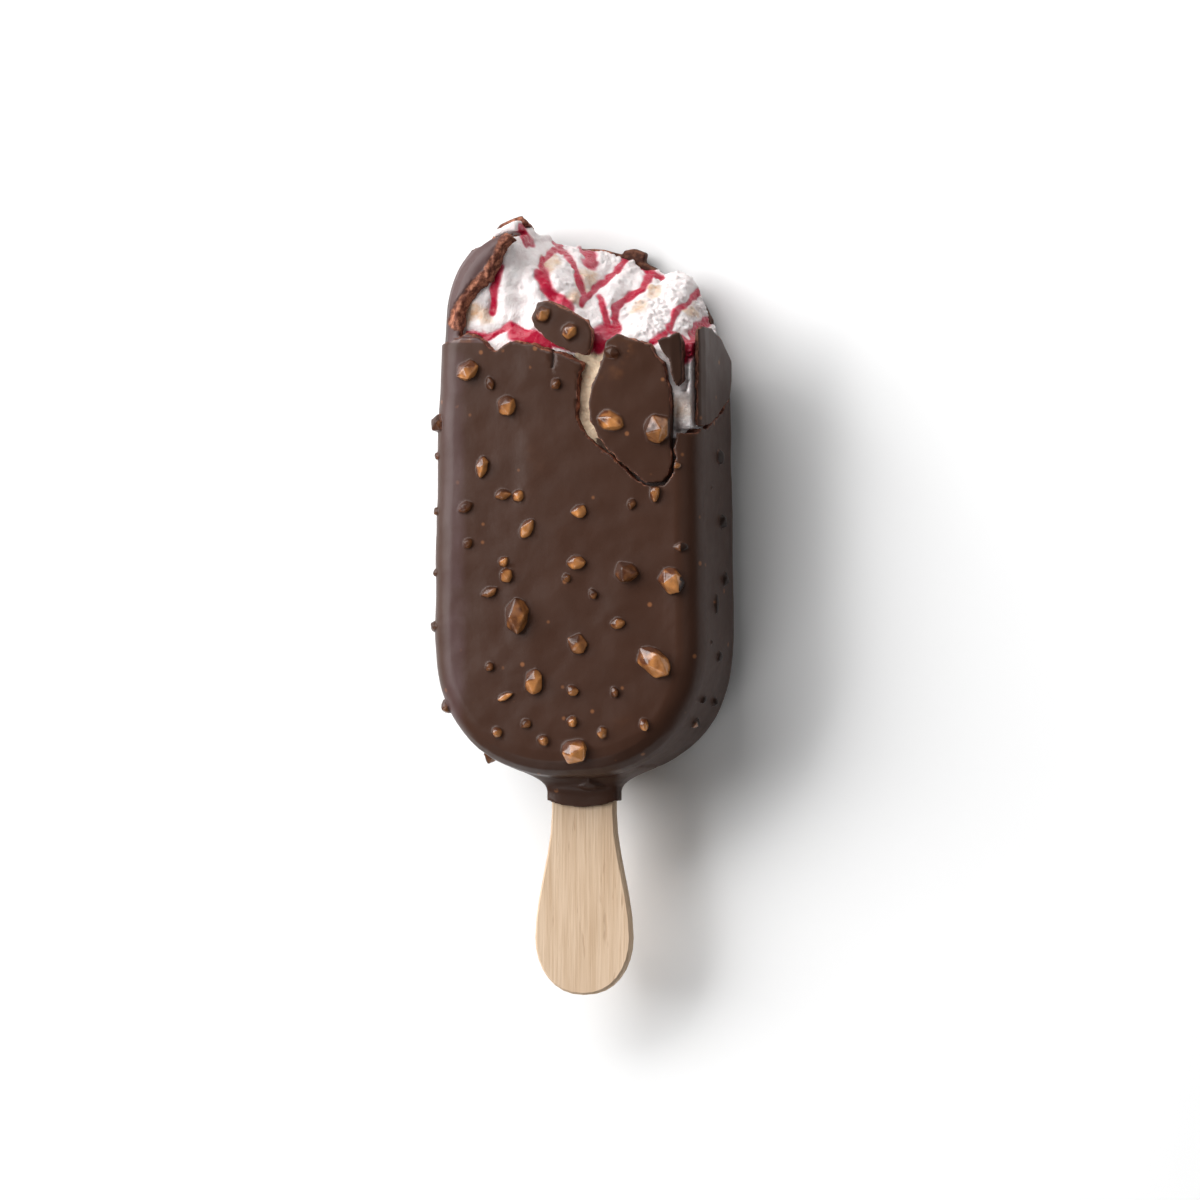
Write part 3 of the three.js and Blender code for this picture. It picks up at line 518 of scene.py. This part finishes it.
# low nut where the coating runs onto the stick
collarNut = {"pixel": (583, 786), "height": 7, "radius": 1.5, "rise": 0.8, "narrow": 0.55}
# relief of the chocolate as height and size in mm, and its seed
chocolateRelief = {
    "swell": (0.14, 5.5, 50),
    "ripple": (0.06, 2.6, 51),
    "grit": (0.16, 1.1, 52),
    "ridge": (0.2, 0.55, 53),
}
# "lift" is how far a plate stands off the bar's skin in mm, "shade" is painted shade that darkens all of it
chocolatePieces = {
    "coating": {"name": "coatingSkin", "lift": 0, "seed": 1, "shade": 0},
    "flap": {"name": "flap_skin", "lift": 0.45, "seed": 3, "shade": 0},
    "top_chip": {"name": "top_chip_skin", "lift": 0.55, "seed": 4, "shade": 0},
    "shard": {"name": "shard_skin", "lift": 0.5, "seed": 5, "shade": 0.45},
    "side_flake": {"name": "side_flake_skin", "lift": 0.4, "seed": 6, "shade": 0},
}
# fineness of the large shell and of the small plates: voxel in mm and most triangles
shellMesh = {"voxel": 0.26, "triangles": 190000}
plateMesh = {"voxel": 0.2, "triangles": 60000}


# for each front nut, how far it is roasted and how far points lie from it as a share of its reach
def nutsNear(p):
    for pixelX, pixelY, roasted, reach in frontNuts:
        x, y = onFront(pixelX, pixelY)
        yield roasted, np.hypot(p[:, 0] - x, p[:, 1] - y) / reach


# how much each point is torn chocolate rather than skin
def tornAmount(p, n, depth):
    y, z = p[:, 1], p[:, 2]
    rim = strokeDistance(seenFrom(p), cornerRim) + 0.2 * spaceNoise(p, 0.8, 31)
    along = np.sum(n * skinNormals(p), axis=1)
    turned = smoothStep(0.8, 0.45, along) * smoothStep(-0.35, -0.1, depth)
    within = smoothStep(0.95, 0.8, along) * smoothStep(0.35, 0.7, depth)
    facing = smoothStep(-0.1, 0.15, n @ towards)
    torn = np.max([turned, within, inCorner(p, 27) * facing * smoothStep(1.5, 1.2, rim)], axis=0)
    for _, away in nutsNear(p):
        torn *= np.where(z > 9, smoothStep(1.1, 1.35, away), 1)
    return torn * smoothStep(-2, 0, y)


def relief(p, kind):
    height, size, seed = chocolateRelief[kind]
    return height * spaceNoise(p, size, seed)


# small unevenness of poured chocolate, and coarser crags where it is broken
def weather(obj, lift):
    p = inBar(obj)
    n = pointNormals(obj)
    y, z = p[:, 1], p[:, 2]
    depth = skinDepth(p) + lift
    torn = tornAmount(p, n, depth)
    skin = smoothStep(0.3, 0.14, np.abs(depth)) * (1 - torn)
    poured = relief(p, "swell") + relief(p, "ripple")
    crags = relief(p, "grit") + relief(p * [1, 0.45, 0.45], "ridge")
    if lift == 0:
        poured += depth * smoothStep(-42, -40, y)  # lays the facets on the true rounded form
    shift = skin * poured + torn * crags * (z > -8)
    setInBar(obj, p + n * shift[:, None])


def cutHairline(obj):
    p = inBar(obj)
    groove = smoothStep(0.3, 0.1, strokeDistance(seenFrom(p), hairline["path"])) * (p[:, 2] > 10)
    p[:, 2] -= hairline["depth"] * groove
    setInBar(obj, p)


def raiseCollarNut(obj):
    p = inBar(obj)
    x, y = onFront(*collarNut["pixel"], collarNut["height"])
    away = np.abs(p[:, 0] - x) * collarNut["narrow"] + np.abs(p[:, 1] - y)
    p[:, 2] += np.clip(collarNut["radius"] - away, 0, collarNut["rise"]) * (p[:, 2] > 2)
    setInBar(obj, p)


# lighter mottled skin, partly matt bloom and partly painted highlight, on the standing corner and down the
# left edge
def bloomAndHighlightAmount(p):
    x, y, z = p.T
    onPlate = inCorner(p) * smoothStep(-23, -20.5, x)
    across = seenFrom(p)[:, 0] + 22.3 + 0.5 * spaceNoise(p, 6, 41)
    # painted highlight down the rounded left edge
    leftEdgeHighlight = 0.95 * smoothStep(2.6, 0.6, np.abs(across)) * smoothStep(27, 20, y) * (z > 4)
    return np.maximum(onPlate, leftEdgeHighlight * (0.75 + 0.35 * spaceNoise(p, 2.2, 42)))


# painted shade: where the chocolate is painted nearly black, in the hairline crack, the corner's far left,
# the side-wall nuts, the torn walls of the gaps and all of a shaded piece
def paintedShadeAmount(p, depth, torn, shade):
    x, z = p[:, 0], p[:, 2]
    crack = 0.9 * smoothStep(0.3, 0.12, strokeDistance(seenFrom(p), hairline["path"])) * (z > 10)
    farLeft = 0.45 * inCorner(p) * smoothStep(-20.6, -21.6, x)
    sideNuts = 0.75 * smoothStep(0.1, 0.4, -depth) * (x > 21)
    besideCrack = 0.6 * torn * smoothStep(11.6, 10.4, z) * (x > 2) * (x < 19.5)
    sideEdge = 0.65 * torn * (x > 19.5) * (z > 4)
    return np.max([crack, farLeft, sideNuts, besideCrack, sideEdge, np.full(len(p), shade)], axis=0)


def paintChocolate(obj, piece):
    p = inBar(obj)
    n = pointNormals(obj)
    x, y, z = p.T
    depth = skinDepth(p) + piece["lift"]
    torn = tornAmount(p, n, depth)
    fine = spaceNoise(p, 0.9, piece["seed"] + 1)
    # painted glow: the nut shows bare and glows on its side facing lower right, as if lit through thin
    # chocolate
    facing = n @ np.array([0.62, -0.62, 0.1])
    shows = np.full(len(p), 0.2)
    for roasted, away in nutsNear(p):
        shows = mix(shows, roasted, smoothStep(1.25, 1.0, away) * (z > 8))
    bare = smoothStep(-0.6, 0.35, facing + 0.4 * fine + 0.9 * (shows - 0.45))
    clearOfCollar = smoothStep(-46.5, -45, y)
    paint(obj, "nut", smoothStep(0.1, 0.5, -depth) * clearOfCollar * np.where(x > 21, 0, bare))
    # painted glow on each nut's lower-right side
    paint(obj, "paintedGlow", np.clip(shows * (0.3 + 0.4 * fine + 1.1 * facing), 0, 1))
    paint(obj, "broken", torn)
    # bloom and painted highlight, kept off torn faces
    paint(obj, "bloomAndHighlight", bloomAndHighlightAmount(p) * (1 - torn))
    # painted shade
    paint(obj, "paintedShade", paintedShadeAmount(p, depth, torn, piece["shade"]))


chocolate = chocolateLook()
for node, piece in chocolatePieces.items():
    plate = nodeCopy(node, piece["name"])
    fineness = shellMesh if node == "coating" else plateMesh
    meltTogether(plate, fineness["voxel"], 2)
    weather(plate, piece["lift"])
    if node == "coating":
        cutHairline(plate)
        raiseCollarNut(plate)
    thinOut(plate, fineness["triangles"])
    paintChocolate(plate, piece)
    finishPiece(plate, node, chocolate)
print("coating and loose pieces done")

# berry ripple as strokes over the photograph, each with its half width in mm
ripple = [
    (0.45, [(501, 268), (495, 290), (493, 312)]),
    (0.6, [(521, 228), (530, 243)]),
    (0.8, [(543, 274), (547, 292), (561, 303), (568, 311)]),
    (0.38, [(556, 242), (562, 250), (573, 262), (576, 273), (584, 293)]),
    (0.9, [(588, 252), (591, 262)]),
    (0.42, [(627, 258), (618, 269), (604, 282), (591, 293), (581, 305)]),
    (0.5, [(652, 272), (645, 283), (642, 288), (630, 296), (622, 301), (616, 310), (614, 319), (618, 329),
           (598, 337)]),
    (0.42, [(644, 268), (662, 278)]),
    (0.42, [(698, 292), (687, 303), (680, 308), (672, 319), (668, 332), (653, 342)]),
    (0.7, [(706, 322), (694, 332), (695, 342), (689, 349), (683, 359)]),
    (0.42, [(668, 332), (690, 345)]),
    (0.38, [(467, 333), (489, 338), (503, 330), (512, 325), (524, 331), (536, 334), (549, 343), (575, 350)]),
    (0.95, [(515, 335), (530, 339), (546, 346)]),
    (0.95, [(588, 345), (600, 337), (612, 331)]),
    (0.5, [(600, 300), (610, 335), (600, 350)]),
    (0.4, [(560, 243), (540, 262), (545, 276)]),
]
# toasted patches by their pixel in the photograph, and their radius in mm
toastedPatches = [
    (470, 312, 2.4), (550, 262, 2.2), (588, 280, 2.4), (575, 300, 1.6), (640, 310, 1.6), (486, 318, 1.8),
    (690, 312, 1.4), (655, 292, 1.6), (680, 410, 2.0),
]
# chocolate smeared on the cream beside the side plate, in the photograph
smear = [(684, 398), (679, 412), (677, 428)]
creamPiece = {
    "voxel": 0.25,
    "smoothing": 5,
    "triangles": 150000,
    "pillow": 0.55,  # how far the cream swells between the strokes, and over what distance
    "pillowReach": 0.8,
    "pillowSink": 0.15,
    "roughness": [(0.2, 1.8, 11), (0.12, 0.8, 12), (0.08, 0.45, 13)],  # height, size and seed
    "sauceRise": 0.2,
    "underSkin": 1.3,  # how deep the cream stays beside the side plate
    "stripTop": 10.3,
}
# round crumbs of frozen cream, thickest at the far edge and on the right
crumbs = {"count": 420, "radius": (0.3, 0.62), "seed": 21, "swell": 0.75}


# where the sauce lies, its deep middle, and how far points lie from it
def rippleMasks(seen, wander):
    sauce, core = np.zeros(len(seen)), np.zeros(len(seen))
    clear = np.full(len(seen), 9.0)
    for halfWidth, path in ripple:
        away = strokeDistance(seen + 0.3 * wander, path)
        gap = away / (halfWidth * (1 + 0.45 * wander[:, 0]))
        clear = np.minimum(clear, np.maximum(0, away - halfWidth))
        sauce = np.maximum(sauce, smoothStep(1.75, 1.15, gap))
        core = np.maximum(core, smoothStep(1.3, 0.85, gap))
    return sauce, core, clear


def tanAmount(p, seen, wander):
    tan = np.zeros(len(p))
    mottle = 0.7 + 0.3 * spaceNoise(p, 0.7, 14)
    for pixelX, pixelY, radius in toastedPatches:
        gap = np.linalg.norm(seen + 0.9 * wander - photoPlace(pixelX, pixelY), axis=1) / radius
        tan = np.maximum(tan, 0.95 * smoothStep(1.2, 0.5, gap) * mottle)
    return tan


# pillows between the strokes and a rough grain, smoother on the left lobes and in the corner's tip
def creamRelief(p, sauce, core, clear):
    inWedge = (p[:, 1] > 42.5) & (p[:, 0] < -9.5)
    lobes = smoothStep(-4, -9, p[:, 0])
    fullness = 1 - np.exp(-clear / creamPiece["pillowReach"])
    pillow = creamPiece["pillow"] * fullness - creamPiece["pillowSink"]
    rough = sum(height * spaceNoise(p, size, seed) for height, size, seed in creamPiece["roughness"])
    pillow *= np.where(inWedge, 0.15, 1)
    rough *= np.where(inWedge, 0.6, 1 - 0.7 * lobes)
    return pillow + rough * (1 - 0.85 * sauce) + creamPiece["sauceRise"] * core


# beside the side plate the cream stands nearly as high as the skin
def raiseStrip(p, beside):
    x, y, z = p.T
    strip = beside * ((y < 17.2) | (x > 21)) * (z > 3)
    p += skinNormals(p) * (strip * np.clip(skinDepth(p) - creamPiece["underSkin"], 0, 1))[:, None]
    p[:, 2] += strip * smoothStep(5.5, 8, z) * np.clip(creamPiece["stripTop"] - z, 0, 2)


def crumbSwell(p, n, exposed, lobes):
    x, y, z = p.T
    likely = exposed * (y > 27) * (1 - lobes) * (n[:, 2] > -0.2)
    likely *= 0.25 + smoothStep(-4, -8, z) + 0.5 * smoothStep(8, 18, x)
    likely *= smoothStep(-0.1, 0.5, spaceNoise(p, 3.0, 22)) + 0.08
    draw = np.random.default_rng(crumbs["seed"])
    chosen = draw.choice(len(p), crumbs["count"], replace=False, p=likely / likely.sum())
    swell = np.zeros(len(p))
    for spot, radius in zip(p[chosen], draw.uniform(*crumbs["radius"], crumbs["count"])):
        close = np.where(np.abs(p - spot).max(axis=1) < radius)[0]
        rise = radius**2 - ((p[close] - spot) ** 2).sum(axis=1)
        swell[close] = np.maximum(swell[close], crumbs["swell"] * np.sqrt(np.maximum(0, rise)))
    return swell


def makeCream():
    cream = nodeCopy("cream", "creamBody")
    meltTogether(cream, creamPiece["voxel"], creamPiece["smoothing"])
    p = inBar(cream)
    n = pointNormals(cream)
    x, y, z = p.T
    seen = seenFrom(p)
    wander = np.column_stack([spaceNoise(p, 1.6, 7), spaceNoise(p, 1.6, 8)])
    exposed = smoothStep(-3, 0, y) * smoothStep(-11, -9, z)
    lobes = smoothStep(-4, -9, x)
    beside = (x > 19) & (y > 11) & (y < 27)
    sauce, core, clear = rippleMasks(seen, wander)
    paint(cream, "tan", tanAmount(p, seen, wander))
    p += n * (exposed * creamRelief(p, sauce, core, clear))[:, None]
    raiseStrip(p, beside)
    setInBar(cream, p + n * (crumbSwell(p, n, exposed, lobes) * (1 - 0.7 * sauce))[:, None])
    smeared = 0.8 * smoothStep(1.2, 0.3, strokeDistance(seen + 0.4 * wander, smear))
    # painted shade where the cream shows through the closed crack below the loose plate
    closedCrack = (y < 9.5) & (x > 5.5) & (x < 21)
    inCrack = (y < 26) & (x > 1.5) & (x < 12)
    paint(cream, "sauce", sauce * exposed)
    paint(cream, "core", core * exposed * np.clip(0.95 + 0.5 * wander[:, 1], 0.4, 1))
    paint(cream, "smearAndShade", np.maximum(smeared, 0.92 * closedCrack))
    paint(cream, "inner", inCrack * 0.8)
    thinOut(cream, creamPiece["triangles"])
    finishPiece(cream, "cream", creamLook())


makeCream()
print("cream done")

# the stick keeps the frame's own mesh
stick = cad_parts["stick"]
stick.data.materials.clear()
stick.data.materials.append(birchLook())
print("stick done")
